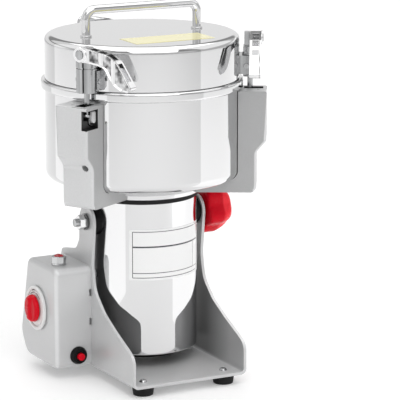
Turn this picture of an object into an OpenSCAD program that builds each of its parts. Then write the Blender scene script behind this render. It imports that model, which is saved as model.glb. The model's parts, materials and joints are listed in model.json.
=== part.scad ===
// Tilting high-speed spice grinder on a bent-plate stand.
// Origin on the table plane under the middle of the whole outline. +Z up, -Y front, +X towards the clamp knob.
// The modules are drawn about the motor axis, and place() moves them to the origin.

/* [Stand] */
// Height of the rubber feet
feet_h = 9.5; // [8:0.5:11]
// Thickness of the stand plate
plate_t = 3; // [2.5:0.25:3.5]
// Outer width of the stand over its side walls
stand_w = 123; // [121:1:126]
// Distance from the motor axis to the front edge of the floor
stand_front = 101; // [96:1:106]
// Distance from the motor axis to the rear edge of the floor
stand_rear = 84; // [82:1:90]
// Height of the tilt axis above the table
pivot_z = 154.7; // [154:0.1:156]
// Radius of the ears around the tilt axis
ear_r = 15.7; // [14:0.1:16.5]
// Diameter of the rubber feet
foot_d = 22; // [18:1:24]

/* [Motor] */
// Outer radius of the motor shell
motor_r = 53; // [52:0.25:53.5]
// Height of the lower edge of the motor shell
motor_z0 = 26; // [25:0.5:30]
// Height of the upper edge of the motor shell
motor_z1 = 177; // [174:0.5:177]
// Shaft diameter
shaft_d = 12; // [11:0.5:12]

/* [Bowl and lid] */
// Outer radius of the bowl
bowl_r = 95; // [93:0.5:95]
// Wall thickness of bowl and lid
wall = 1.5; // [1:0.1:2]
// Height of the underside of the bowl
bowl_z0 = 195; // [194.8:0.1:196]
// Height of the seam between bowl and lid
seam_z = 293.5; // [292:0.5:294]
// Height of the lid's top
lid_z1 = 336.6; // [335:0.2:339]
// Height of the top of the lid handle
handle_top = 366.5; // [362:0.5:372]
// Diameter of the lid handle's rod
handle_d = 8.5; // [7:0.5:10]

/* [Yoke and latches] */
// Tangential width of each arm
arm_w = 35; // [34:0.5:37]
// Outer radius of the arms below the step
arm_r = 112; // [110:0.5:113]
// Outer radius of the arm heads
head_r = 121.5; // [120.5:0.5:123]
// Height of the arm heads
arm_top = 282; // [280:0.5:284]
// Tangential offset of each latch from its arm's middle
latch_t = 7; // [6.5:0.1:7.5]
// Radius at which the latch rods stand
latch_r = 105; // [104.8:0.1:105.2]
// Height of the cam lever pins
lever_z = 331; // [330:0.2:332]

/* [Controls] */
// Outer face of the control box, from the motor axis
box_x = 100; // [96:1:104]
// Height of the control box's top
box_top = 112; // [108:0.5:114]
// Diameter of the timer knob
knob_d = 27; // [24:1:30]

/* [Hidden] */
$fn = 96;
eps = 0.01;
wx = stand_w / 2;                // outer face of each side wall
wi = wx - plate_t;               // inner face of each side wall
floor_top = feet_h + plate_t;
foot_x = 43.7;
foot_y0 = -(stand_front - 14.8);
foot_y1 = stand_rear - 15;
arms = [210, 330, 90];
steel = [0.86, 0.87, 0.88];
cast = [0.70, 0.71, 0.72];
sheet = [0.66, 0.67, 0.68];
dark = [0.06, 0.06, 0.06];
red = [0.78, 0.05, 0.08];
box_y0 = -9.5;
dial_y = 32.5;
dial_z = 65.5;
dial_t = 3.5;
lamp_x = -86;
lamp_y = 12;
brk_x = -76;
brk_z = 24;
inlet_z = 80;
inlet_x = -80;
box_y1 = 75.5;
box_y2 = 57;
rear_tilt = atan((box_y1 - box_y2) / (box_top - 33));
inlet_y = box_y2 + (box_top - inlet_z) * (box_y1 - box_y2) / (box_top - 33);
barrel_z = 268;
bowl_round = 8.5;
// the motor axis, from the middle of the outline
axis_at = [0, -4.526, 0];
lug_z0 = 294;
lug_z1 = 318;

// ---------- outline helpers ----------
function unit(v) = v / norm(v);
function ang(v) = atan2(v[1], v[0]);
function turn(a, b) = let (d = b - a) d > 180 ? d - 360 : d < -180 ? d + 360 : d;
// one corner of an outline p, rounded with radius r
function corner(p, i, r, n = 8) =
    let (m = len(p), a = p[(i + m - 1) % m], b = p[i], c = p[(i + 1) % m],
         u = unit(a - b), v = unit(c - b), h = acos(u * v) / 2,
         t = r / tan(h), o = b + unit(u + v) * r / sin(h),
         s = ang(b + u * t - o), e = turn(s, ang(b + v * t - o)))
    r <= 0 ? [b] : [for (k = [0:n]) o + r * [cos(s + e * k / n), sin(s + e * k / n)]];
function rounded(p, r, n = 8) = [for (i = [0:len(p) - 1]) each corner(p, i, r[i], n)];
// convex counter-clockwise outline moved inwards by d
function inset(p, d) = let (m = len(p)) [for (i = [0:m - 1])
    let (a = p[(i + m - 1) % m], b = p[i], c = p[(i + 1) % m],
         u = unit(b - a), v = unit(c - b), h = acos(max(-1, min(1, u * v))) / 2,
         n = unit([-u[1] - v[1], u[0] + v[0]])) b + n * d / cos(h)];

// extrudes an outline drawn in (y, z) along x, from x0 to x1
module along_x(x0, x1) translate([x0, 0, 0]) rotate([90, 0, 90]) linear_extrude(height = x1 - x0) children();
// extrudes an outline drawn in (x, z) along y, from y0 to y1
module along_y(y0, y1) translate([0, y1, 0]) rotate([90, 0, 0]) linear_extrude(height = y1 - y0) children();
module tube(ro, ri, z0, z1) translate([0, 0, z0]) difference() {
    cylinder(r = ro, h = z1 - z0);
    translate([0, 0, -1]) cylinder(r = ri, h = z1 - z0 + 2);
}
module rod_x(r, x0, x1, y = 0, z = 0) translate([x0, y, z]) rotate([0, 90, 0]) cylinder(r = r, h = x1 - x0);
module rod_y(r, y0, y1, x = 0, z = 0) translate([x, y0, z]) rotate([-90, 0, 0]) cylinder(r = r, h = y1 - y0);
// places children in arm k's own frame: x radial, y tangential
module at_arm(k) rotate([0, 0, arms[k]]) children();

// ---------- stand ----------
side = concat(
    rounded([[-stand_front, feet_h], [-stand_front, 40], [-88, 46.5], [-62, 57.5], [-36, 70.5], [-16, 88],
             [-10.6, 112], [-ear_r, pivot_z - 2]], [0, 12, 0, 30, 40, 25, 40, 0]),
    [for (a = [180:-10:0]) [ear_r * cos(a), pivot_z + ear_r * sin(a)]],
    rounded([[ear_r, pivot_z - 2], [16.8, 134], [24, 123], [57, 117], [60, 108], [69, 66], [stand_rear - 2, 30], [stand_rear, feet_h]],
            [0, 10, 12, 6, 10, 30, 12, 0]));
foot_spots = [for (x = [-foot_x, foot_x], y = [foot_y0, foot_y1]) [x, y]];

module stand_section() difference() {
    union() {
        translate([-wx, feet_h + 6]) square([stand_w, 180]);
        translate([-wx + 6, feet_h]) square([stand_w - 12, 10]);
        for (s = [-1, 1]) translate([s * (wx - 6), feet_h + 6]) circle(r = 6);
    }
    translate([-wi, floor_top + 3]) square([2 * wi, 180]);
    translate([-wi + 3, floor_top]) square([2 * wi - 6, 10]);
    for (s = [-1, 1]) translate([s * (wi - 3), floor_top + 3]) circle(r = 3);
}

module stand() color(sheet) difference() {
    intersection() {
        along_y(-stand_front - 5, stand_rear + 5) stand_section();
        along_x(-wx - 1, wx + 1) polygon(side);
    }
    rod_x(4.2, -wx - 2, -wi + 2, 0, pivot_z);
    rod_x(5.3, wi - 2, wx + 2, 0, pivot_z);
    for (p = foot_spots) translate([p[0], p[1], feet_h - 1]) cylinder(r = 2.2, h = 10);
    for (p = box_fix) rod_x(2.1, -wx - 2, -wi + 2, p[0], p[1]);
    rod_x(6, -wx - 2, -wi + 2, 30, 92);
}
module rubber_feet() color(dark) for (p = foot_spots) translate([p[0], p[1], 0]) difference() {
    rotate_extrude() polygon([[0, 0], [foot_d / 2 - 2, 0], [foot_d / 2 - 1, 1], [foot_d / 2, feet_h], [0, feet_h]]);
    translate([0, 0, 3]) cylinder(r = 2.1, h = 10);
}
module foot_screws() color(steel) for (p = foot_spots) translate([p[0], p[1], 0]) {
    translate([0, 0, 3.2]) cylinder(r = 2, h = floor_top - 3.2);
    translate([0, 0, floor_top]) difference() {
        cylinder(r1 = 4, r2 = 2.6, h = 2);
        translate([-5, -0.5, 1.2]) cube([10, 1, 2]);
    }
}

// ---------- control box ----------
box_outline = [[box_y0, 11.5], [62, 11.5], [box_y1, 33], [box_y2, box_top], [box_y0, box_top]];
box_round = [6, 16, 16, 8, 8];
box_fix = [[4, 100], [44, 100], [30, 20], [54, 24]];
module control_box() color(sheet) difference() {
    along_x(-box_x, -wx) polygon(rounded(box_outline, box_round));
    along_x(-box_x + 2.5, -wx + 1) polygon(rounded(inset(box_outline, 2.5), box_round - [2.5, 2.5, 2.5, 2.5, 2.5]));
    rod_x(5, -box_x - 1, -box_x + 4, dial_y, dial_z);
    translate([lamp_x, lamp_y, box_top - 5]) cylinder(r = 5.1, h = 10);
    rod_y(5.8, box_y0 - 1, box_y0 + 5, brk_x, brk_z);
    at_inlet() translate([-11.6, -10, -14.1]) cube([23.2, 20, 28.2]);
    for (z = [53, 82]) translate([-wx - 2, box_y0 - 1, z]) cube([4, 5, 7]);
}
module box_screws() color(steel) for (p = box_fix) {
    rod_x(2, -wx - 6, -wi, p[0], p[1]);
    rod_x(3.6, -wi, -wi + 2.2, p[0], p[1]);
    rod_x(3.6, -wx - 4.2, -wx - 0.8, p[0], p[1]);
}
module timer_dial() color([0.88, 0.89, 0.9]) difference() {
    translate([-box_x, dial_y, dial_z]) rotate([0, -90, 0]) rotate_extrude()
        polygon([[5, 0], [22, 0], [22, dial_t - 1.2], [21.2, dial_t], [19.6, dial_t], [18.8, dial_t - 0.7], [5, dial_t - 0.7]]);
}
module timer_body() color(dark) difference() {
    union() {
        rod_x(15.5, -box_x + 2.5, -box_x + 27, dial_y, dial_z);
        rod_x(4.9, -box_x - 2, -box_x + 4, dial_y, dial_z);
    }
    rod_x(3.05, -box_x - 3, -box_x + 20, dial_y, dial_z);
}
module timer_shaft() color(steel) rod_x(3, -box_x - 9, -box_x + 18, dial_y, dial_z);
// knob with a raised grip across its face
module timer_knob() color(red) difference() {
    union() {
        translate([-box_x - dial_t - 0.4, dial_y, dial_z]) rotate([0, -90, 0]) rotate_extrude()
            polygon([[0, 0], [knob_d / 2 - 0.4, 0], [knob_d / 2, 0.5], [knob_d / 2 - 0.3, 3.6], [knob_d / 2 - 1.2, 4.8], [0, 4.8]]);
        intersection() {
            rod_x(knob_d / 2 - 1.2, -box_x - 11.4, -box_x - dial_t - 3, dial_y, dial_z);
            translate([-box_x - 11.4, dial_y - 4, dial_z - 20]) cube([8, 8, 40]);
        }
    }
    rod_x(3, -box_x - 9, -box_x, dial_y, dial_z);
}
module breaker_body() color(dark) difference() {
    union() {
        rod_y(5.6, box_y0 - 5.5, box_y0 + 3, brk_x, brk_z);
        translate([brk_x - 8, box_y0 + 2.5, brk_z - 6.5]) cube([16, 30, 18]);
    }
    rod_y(4.1, box_y0 - 6, box_y0 + 22, brk_x, brk_z);
}
module breaker_ring_nut() color(dark) difference() {
    translate([brk_x, box_y0, brk_z]) rotate([90, 0, 0]) rotate_extrude()
        polygon([[5.6, 0], [8.8, 0], [8.8, 1.5], [7.4, 4.5], [5.6, 5]]);
    for (a = [0:30:330]) translate([brk_x + 9.4 * cos(a), box_y0 - 6, brk_z + 9.4 * sin(a)]) rotate([-90, 0, 0]) cylinder(r = 1, h = 4.6, $fn = 24);
}
module reset_button() color(red) {
    rod_y(3.8, box_y0 - 9, box_y0 + 14, brk_x, brk_z);
}
module lamp_bezel() color(steel) difference() {
    translate([lamp_x, lamp_y, box_top]) rotate_extrude()
        polygon([[0, -9], [5, -9], [5, 0], [7.4, 0], [7.4, 1.2], [6.4, 2.2], [6.4, 8], [5.6, 9], [0, 9]]);
    translate([lamp_x, lamp_y, box_top - 6]) cylinder(r = 4.8, h = 20);
}
module lamp_lens() color([0.75, 0.03, 0.05]) translate([lamp_x, lamp_y, box_top - 6]) rotate_extrude()
    polygon(concat([[0, 0], [4.8, 0]], [for (a = [0:15:75]) [4.8 * cos(a), 14.6 + 2.6 * sin(a)]], [[0, 17.2]]));
// frame of the socket: y along the outward normal of the sloping rear wall
module at_inlet() translate([inlet_x, inlet_y, inlet_z]) rotate([rear_tilt, 0, 0]) children();
pin_spots = [[0, 4], [-5, -4], [5, -4]];
module inlet_socket() color(dark) at_inlet() difference() {
    union() {
        translate([-11.5, -14, -14]) cube([23, 14.2, 28]);
        translate([-15, 0, -19]) cube([30, 3, 38]);
    }
    translate([-8.5, -11, -11]) cube([17, 20, 22]);
    for (s = [-1, 1]) translate([0, -1, s * 16.5]) rotate([-90, 0, 0]) cylinder(r = 1.6, h = 6);
    for (p = pin_spots) translate([p[0] - 1, -20, p[1] - 2]) cube([2, 30, 4]);
}
module inlet_pins() color([0.8, 0.7, 0.4]) at_inlet() for (p = pin_spots) translate([p[0] - 1, -17, p[1] - 2]) cube([2, 15, 4]);

// ---------- pivots ----------
module pivot_bolt() color(steel) {
    rod_x(4, -wx - 13, -motor_r + 8, 0, pivot_z);
    rod_x(7, -wi, -wi + 1.5, 0, pivot_z);
}
module pivot_nut() color(steel) translate([-wx - 9, 0, pivot_z]) rotate([0, 90, 0]) difference() {
    union() {
        cylinder(r = 7.5, h = 6.4, $fn = 6);
        translate([0, 0, 6.4]) cylinder(r = 8.2, h = 1.6);
        translate([0, 0, 8]) cylinder(r = 7.4, h = 1);
    }
    translate([0, 0, -1]) cylinder(r = 4, h = 12);
}
module pivot_washers() color(dark) for (s = [-1, 1]) difference() {
    rod_x(13, s < 0 ? -wi : wi - 1.5, s < 0 ? -wi + 1.5 : wi, 0, pivot_z);
    rod_x(s < 0 ? 7 : 5.3, s < 0 ? -wi - 1 : wi - 3, s < 0 ? -wi + 3 : wi + 1, 0, pivot_z);
}
module trunnion_bosses() color(cast) for (s = [-1, 1]) mirror([s < 0 ? 1 : 0, 0, 0]) difference() {
    union() {
        difference() {
            rod_x(14, motor_r - 6, wi - 1.8, 0, pivot_z);
            translate([0, 0, pivot_z - 30]) cylinder(r = motor_r, h = 60);
        }
        rod_x(8.5, motor_r - 11, motor_r + 1, 0, pivot_z);
    }
    rod_x(4.05, motor_r - 12, wi + 5, 0, pivot_z);
}
module clamp_stud() color(steel) rod_x(4, motor_r - 8, wx + 24, 0, pivot_z);
// knob radius around its axis: five soft lobes
function lobe(a, r, d) = r + d * cos(5 * a);
module clamp_knob() color(red) difference() {
    union() {
        translate([wx + 3.2, 0, pivot_z]) rotate([90, 0, 90]) linear_extrude(height = 17)
            polygon([for (a = [0:4:356]) lobe(a, 22, 2.6) * [cos(a + 54), sin(a + 54)]]);
        rod_x(16.5, wx + 20, wx + 27, 0, pivot_z);
        rod_x(13.2, wx + 27, wx + 32, 0, pivot_z);
        rod_x(9.5, wx + 0.4, wx + 3.4, 0, pivot_z);
    }
    rod_x(4, wx - 2, wx + 24, 0, pivot_z);
}

// ---------- motor ----------
module motor_shell() color(steel) difference() {
    rotate_extrude() polygon([[motor_r - wall, motor_z0 + 1.5], [motor_r - wall, motor_z1 - 7], [40, motor_z1 - 7], [40, motor_z1], [motor_r, motor_z1],
        [motor_r, motor_z0 + 1.5], [motor_r - 1.2, motor_z0], [motor_r - 7, motor_z0], [motor_r - 7, motor_z0 + 1.5]]);
    for (a = [30:120:270]) rotate(a) translate([47, 0, motor_z1 - 10]) cylinder(r = 2.5, h = 20);
    for (s = [-1, 1]) rod_x(8.5, s < 0 ? -motor_r - 5 : motor_r - 15, s < 0 ? -motor_r + 15 : motor_r + 5, 0, pivot_z);
}
module motor_cap() color(dark) difference() {
    rotate_extrude() polygon([[0, 20.5], [39, 20.5], [41.5, 22.5], [42.5, motor_z0], [45.8, motor_z0], [45.8, motor_z0 + 1.5], [49, motor_z0 + 1.5], [49, motor_z0 + 4.5], [0, motor_z0 + 4.5]]);
    for (a = [0:30:330], r = [18, 28]) rotate(a) translate([r, 0, 15]) cylinder(r = 2.6, h = 30, $fn = 24);
    translate([0, 0, motor_z0 + 0.5]) cylinder(r = 9.05, h = 10);
    for (a = [45:90:315]) rotate(a) translate([36, 0, 15]) { cylinder(r = 1.8, h = 30); cylinder(r = 3.6, h = 7.8); }
}
module cap_screws() color(steel) for (a = [45:90:315]) rotate(a) translate([36, 0, 0]) {
    translate([0, 0, 22.8]) cylinder(r = 1.75, h = 80);
    translate([0, 0, 21]) cylinder(r = 3.4, h = 1.8);
}
module stator() color([0.45, 0.45, 0.47]) difference() {
    union() {
        tube(motor_r - wall - 0.2, 30, 62, 112);
        for (a = [0, 180]) rotate(a) translate([0, 0, 54]) intersection() {
            tube(46, 31, 0, 66);
            translate([0, -24, 0]) cube([60, 48, 66]);
        }
    }
    translate([0, 0, 40]) cylinder(r = 29.5, h = 100);
    for (a = [45:90:315]) rotate(a) translate([36, 0, 15]) cylinder(r = 1.9, h = 130);
}
module armature_core() color([0.5, 0.45, 0.4]) difference() {
    union() {
        translate([0, 0, 60]) cylinder(r = 28.4, h = 54);
        translate([0, 0, 54]) cylinder(r = 23, h = 66);
    }
    translate([0, 0, 50]) cylinder(r = shaft_d / 2, h = 80);
    for (a = [0:30:330]) rotate(a) translate([28.5, 0, 50]) cylinder(r = 2, h = 80, $fn = 24);
}
module commutator() color([0.75, 0.45, 0.25]) difference() {
    translate([0, 0, 42]) cylinder(r = 13, h = 12);
    translate([0, 0, 40]) cylinder(r = shaft_d / 2, h = 20);
    for (a = [0:15:345]) rotate(a) translate([11.5, -0.3, 41]) cube([4, 0.6, 11]);
}
module motor_shaft() color(steel) {
    translate([0, 0, motor_z0 + 1]) cylinder(r = 4, h = 12);
    translate([0, 0, 39]) cylinder(r = shaft_d / 2, h = 175);
    translate([0, 0, 214]) cylinder(r = 5, h = 24);
}
module cooling_fan() color(dark) difference() {
    union() {
        translate([0, 0, 124]) cylinder(r = 40, h = 2);
        translate([0, 0, 124]) cylinder(r = 11, h = 14);
        for (a = [0:30:330]) rotate(a) translate([10, -0.8, 125]) cube([29, 1.6, 11]);
    }
    translate([0, 0, 120]) cylinder(r = shaft_d / 2, h = 30);
}
module bearing(ro, ri, z0, z1) difference() {
    tube(ro, ri, z0, z1);
    translate([0, 0, z0 - 1]) difference() { cylinder(r = ro - 2.5, h = 1.6); translate([0, 0, -1]) cylinder(r = ri + 2, h = 4); }
    translate([0, 0, z1 - 0.6]) difference() { cylinder(r = ro - 2.5, h = 1.6); translate([0, 0, -1]) cylinder(r = ri + 2, h = 4); }
}
module upper_bearing() color(steel) bearing(16, shaft_d / 2 + 0.03, 184.4, 194.4);
module lower_bearing() color(steel) bearing(9, 4.03, motor_z0 + 2, motor_z0 + 9);
module brush_holders() color([0.8, 0.7, 0.4]) for (a = [90, 270]) rotate(a) difference() {
    union() {
        translate([14.5, -5, 43]) cube([30, 10, 10]);
        translate([38, -4, motor_z0 + 4.5]) cube([6, 8, 14]);
    }
    translate([12, -3.1, 44.9]) cube([40, 6.2, 6.2]);
}
module carbon_brushes() color(dark) for (a = [90, 270]) rotate(a) translate([13.4, -3, 45]) cube([16, 6, 6]);
module motor_gasket() color(dark) difference() {
    rotate_extrude() polygon([[40, motor_z1], [motor_r + 1.2, motor_z1], [motor_r + 1.2, motor_z1 + 4.5], [40, motor_z1 + 4.5]]);
    for (a = [30:120:270]) rotate(a) translate([47, 0, 170]) cylinder(r = 2.6, h = 20);
}
module motor_flange() color(steel) difference() {
    rotate_extrude() polygon([[36, 181.5], [56, 181.5], [56.5, 182], [56.5, 186], [56, 186.5], [36, 186.5]]);
    for (a = [30:120:270]) rotate(a) translate([47, 0, 170]) cylinder(r = 2.6, h = 20);
    for (k = [0:2]) at_arm(k) translate([46, -arm_w / 2, 180]) cube([20, arm_w, 10]);
}
// blank label plate wrapped on the shell
module motor_label() color([0.93, 0.93, 0.92]) intersection() {
    tube(motor_r + 0.3, motor_r, 101.5, 152);
    rotate(-83) translate([0, 0, 0]) linear_extrude(height = 200) polygon([[0, 0], 80 * [cos(-48), sin(-48)], [80, 0] * 1.4, 80 * [cos(48), sin(48)]]);
}

// ---------- yoke ----------
arm_side = rounded([[40, 182], [arm_r, 182], [arm_r, 222], [head_r, 233], [head_r, arm_top], [84, arm_top], [84, 194.5], [40, 194.5]],
    [0, 6, 8, 4, 1.5, 0, 0, 0]);
module arm() difference() {
    translate([0, arm_w / 2, 0]) rotate([90, 0, 0]) linear_extrude(height = arm_w) polygon(arm_side);
    // slot that the rod swings out through
    translate([latch_r - 5.8, latch_t - 5.8, barrel_z]) cube([118 - latch_r + 5.8, 11.6, 30]);
    // pocket for the rod's round end and cross bore for its pin
    translate([latch_r, latch_t - 5.8, barrel_z]) rotate([-90, 0, 0]) cylinder(r = 6.4, h = 11.6);
    translate([latch_r, latch_t - 11.5, barrel_z]) rotate([-90, 0, 0]) cylinder(r = 2.55, h = 12);
    // small blind holes in the outer face and the top
    translate([104, 9.7, 222.5]) rotate([0, 90, 0]) cylinder(r = 3.5, h = 30);
    translate([113, -4, arm_top - 6]) cylinder(r = 1.6, h = 10);
    // window at the corner
    translate([102, 11.6, barrel_z - 8]) cube([40, 20, 18.5]);
}
module yoke() color(cast) difference() {
    union() {
        tube(60, 16, 186.5, 194.5);
        for (k = [0:2]) at_arm(k) arm();
    }
    // seat that the bowl's round corner nests in
    rotate_extrude() polygon(concat([[0, 194.5]], arc(bowl_r - bowl_round, 203.5, bowl_round + 0.5, -90, 0), [[bowl_r + 0.5, 400], [0, 400]]));
    translate([0, 0, 100]) cylinder(r = 50, h = 86.5);
    translate([0, 0, 150]) cylinder(r = 16, h = 100);
    for (a = [30:120:270]) rotate(a) translate([47, 0, 180]) cylinder(r = 2.6, h = 30);
    for (a = [30:120:270]) rotate(a) translate([30, 0, 180]) cylinder(r = 2.6, h = 30);
}
module yoke_screws() color(steel) for (a = [30:120:270]) rotate(a) {
    translate([47, 0, motor_z1 - 6]) cylinder(r = 2.5, h = 23.5);
    translate([30, 0, 183]) cylinder(r = 2.5, h = 17);
    translate([30, 0, 182]) cylinder(r = 4.5, h = 4.5);
}

// ---------- bowl and blades ----------
bowl_in = bowl_r - wall;
function arc(cx, cz, r, a0, a1, n = 8) = [for (k = [0:n]) [cx + r * cos(a0 + (a1 - a0) * k / n), cz + r * sin(a0 + (a1 - a0) * k / n)]];
module bowl() color(steel) difference() {
    // the rim is a rolled band below the seam
    rotate_extrude() polygon(concat([[0, bowl_z0]], arc(bowl_r - bowl_round, bowl_z0 + bowl_round, bowl_round, -90, 0),
        [[bowl_r, seam_z - 9.6]], arc(bowl_r + 1.6, seam_z - 7.4, 2.2, -90, 0, 6), arc(bowl_r + 1.3, seam_z - 2.8, 2.5, 0, 90, 6), [[bowl_in, seam_z - 0.3]],
        arc(bowl_r - bowl_round, bowl_z0 + bowl_round, bowl_round - wall, 0, -90), [[0, bowl_z0 + wall]]));
    translate([0, 0, bowl_z0 - 1]) cylinder(r = 14, h = 5);
    for (a = [30:120:270]) rotate(a) translate([30, 0, 190]) cylinder(r = 2.5, h = 30);
}
module shaft_seal() color(dark) difference() {
    union() {
        translate([0, 0, 194.7]) cylinder(r = 14, h = 4.3);
        translate([0, 0, bowl_z0 + wall]) cylinder(r = 18, h = 2.5);
    }
    translate([0, 0, 180]) cylinder(r = shaft_d / 2 + 0.05, h = 40);
}
// one S-shaped blade, pitch turns its tips up or down
module blade_plan() polygon(concat(
    [for (k = [0:16]) let (t = k / 16) [-10 + 84 * t, 11 - 3 * t + 15 * t * t - 9 * t * t * t]],
    [[75.5, 12.5]],
    [for (k = [16:-1:0]) let (t = k / 16) [10 + 64 * t, -10 + 8 * t + 16 * t * t - 2 * t * t * t]],
    [for (k = [0:16]) let (t = k / 16) -[-10 + 84 * t, 11 - 3 * t + 15 * t * t - 9 * t * t * t]],
    [[-75.5, -12.5]],
    [for (k = [16:-1:0]) let (t = k / 16) -[10 + 64 * t, -10 + 8 * t + 16 * t * t - 2 * t * t * t]]));
module blade(z) translate([0, 0, z]) difference() {
    linear_extrude(height = 2) blade_plan();
    translate([0, 0, -1]) cylinder(r = 5, h = 4);
}
module lower_blade() color(steel) blade(214);
module upper_blade() color(steel) rotate(90) blade(226);
module blade_spacers() color(steel) {
    tube(9, shaft_d / 2, 200.2, 214);
    tube(9, 5, 216, 226);
}
module blade_nut() color(steel) difference() {
    union() {
        translate([0, 0, 228]) cylinder(r = 9.2, h = 8, $fn = 6);
        translate([0, 0, 236]) cylinder(r = 8, h = 3);
        translate([0, 0, 238]) cylinder(r = 6, h = 2);
    }
    translate([0, 0, 220]) cylinder(r = 5, h = 18);
}

// ---------- lid ----------
module lid() color(steel) rotate_extrude() polygon(concat([[bowl_in, seam_z], [bowl_r, seam_z]],
    arc(bowl_r - 7, lid_z1 - 7, 7, 0, 90), [[0, lid_z1], [0, lid_z1 - wall]], arc(bowl_r - 7, lid_z1 - 7, 7 - wall, 90, 0)));
module lid_seal() color([0.85, 0.85, 0.85]) {
    tube(bowl_in - 0.3, bowl_in - 4, seam_z - 1.5, seam_z + 1.2);
    tube(bowl_in, bowl_in - 4, seam_z + 1.2, seam_z + 8);
}
// bent-rod handle standing on two round feet
module lid_handle() color(steel) {
    r = handle_d / 2;
    zb = handle_top - r;
    for (s = [0, 1]) mirror([s, 0, 0]) {
        translate([60, 0, lid_z1]) cylinder(r = r, h = zb - 9 - lid_z1);
        translate([60, 0, lid_z1]) cylinder(r = r + 1.4, h = 1.6);
        translate([51, 0, zb - 9]) rotate([90, 0, 0]) rotate_extrude(angle = 90) translate([9, 0]) circle(r = r);
    }
    rod_x(r, -51, 51, 0, zb);
}
module lid_sticker() color([0.95, 0.88, 0.55]) translate([0, 0, lid_z1]) linear_extrude(height = 0.25)
    intersection() {
        circle(r = 80);
        translate([-38, -64]) square([84, 36]);
    }
// lugs: a plate on the lid's wall with a cheek on each side of the rod's round post
cheek = 10.6;
module lug() {
    translate([bowl_r - 6, latch_t - 12.3, lug_z0 + 3]) cube([8.4, 24.6, lug_z1 - lug_z0 - 6]);
    for (s = [0, 1]) translate([0, latch_t, 0]) mirror([0, s, 0]) translate([bowl_r - 6, cheek, lug_z0 + 3]) cube([latch_r - bowl_r + 5.7, 12.3 - cheek, lug_z1 - lug_z0 - 6]);
}
module lid_lugs() color([0.72, 0.73, 0.74]) difference() {
    for (k = [0:2]) at_arm(k) lug();
    translate([0, 0, 280]) cylinder(r = bowl_r, h = 60);
    for (k = [0:2]) at_arm(k) rivet_spots() translate([0, 0, -1]) cylinder(r = 1.8, h = 6);
}
// places children at both cheeks, z outwards from the post
module rivet_spots() for (s = [0, 1]) translate([101.6, latch_t, 305]) mirror([0, s, 0]) translate([0, cheek, 0]) rotate([-90, 0, 0]) children();
module lug_rivets() color(steel) for (k = [0:2]) at_arm(k) rivet_spots() {
    cylinder(r = 1.8, h = 2);
    translate([0, 0, 12.3 - cheek]) cylinder(r = 2.8, h = 1.3);
}

// ---------- latches ----------
// rod with a round end in the arm, a round post with a grooved head under the cam, and a flat eye for the lever's pin
module latch_rod(k) at_arm(k) difference() {
    union() {
        translate([latch_r, latch_t - 11, barrel_z]) rotate([-90, 0, 0]) cylinder(r = 2.5, h = 11);
        translate([latch_r, latch_t - 5.5, barrel_z]) rotate([-90, 0, 0]) cylinder(r = 5.5, h = 11);
        translate([latch_r, latch_t, barrel_z]) cylinder(r = 2.7, h = lug_z0 - barrel_z + 1);
        translate([latch_r, latch_t, lug_z0]) cylinder(r = 10, h = lug_z1 - lug_z0 - 1.2);
        translate([latch_r, latch_t, lug_z1 - 2]) cylinder(r = 9, h = 3);
        translate([latch_r, latch_t, lug_z1 + 0.4]) cylinder(r = 10.2, h = lever_z - 7.8 - lug_z1 - 0.4);
        translate([latch_r - 5.6, latch_t - 4, lever_z - 9]) cube([5.5, 8, 15]);
    }
    translate([latch_r - 10, latch_t, lever_z]) rotate([0, 90, 0]) cylinder(r = 2.5, h = 20);
    // flat back towards the lid, and a slit in the post's outer side
    translate([latch_r - 20, latch_t - 15, lug_z0 - 1]) cube([13.3, 30, lever_z - lug_z0 - 2]);
    translate([latch_r, latch_t, lug_z0 - 1]) rotate(k > 0 ? -14 : 14) translate([6.5, -0.7, 0]) cube([6, 1.4, lever_z - lug_z0]);
}
module latch_pin(k) at_arm(k) translate([0, latch_t, lever_z]) rotate([0, 90, 0]) {
    translate([0, 0, latch_r - 5.6]) cylinder(r = 2.5, h = 16.8);
    translate([0, 0, latch_r + 11.2]) cylinder(r = 4, h = 1.8);
}
lever_plan = rounded([[-6.8, -3], [-3, -7.2], [8, -7.2], [20, -8.7], [27.5, -11], [31.5, -17], [37.7, -26], [45.6, -30.2], [53.4, -31.4], [56.4, -28],
                      [47, -13.7], [40.5, -4.2], [31, 2], [14.6, 5], [4, 7.2], [-5, 6]],
    [5.5, 6, 20, 14, 8, 0, 14, 14, 2.5, 2.5, 0, 14, 14, 0, 8, 6]);
// pockets in the lever's upper side, between two rails
lever_cells = [[[10.5, -1.5], [16.5, -2], [17.5, 12], [10.5, 12]], [[19, -2.6], [26, -3.6], [28, 12], [19.5, 12]],
               [[28.5, -4.6], [34, -9], [44, 8], [31, 12]], [[36.2, -11.5], [46.5, -25], [64, -14], [48, 2]]];
module latch_lever(k) at_arm(k) translate([0, latch_t, lever_z]) mirror([0, k > 0 ? 1 : 0, 0]) difference() {
    translate([latch_r + 0.2, 0, 0]) rotate([90, 0, 90]) linear_extrude(height = 11) polygon(lever_plan);
    rotate([0, 90, 0]) cylinder(r = 2.55, h = 200);
    for (c = lever_cells) translate([latch_r + 2.6, 0, 0]) rotate([90, 0, 90]) linear_extrude(height = 6.4) polygon(c);
}

module place() translate(axis_at) children();

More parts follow.
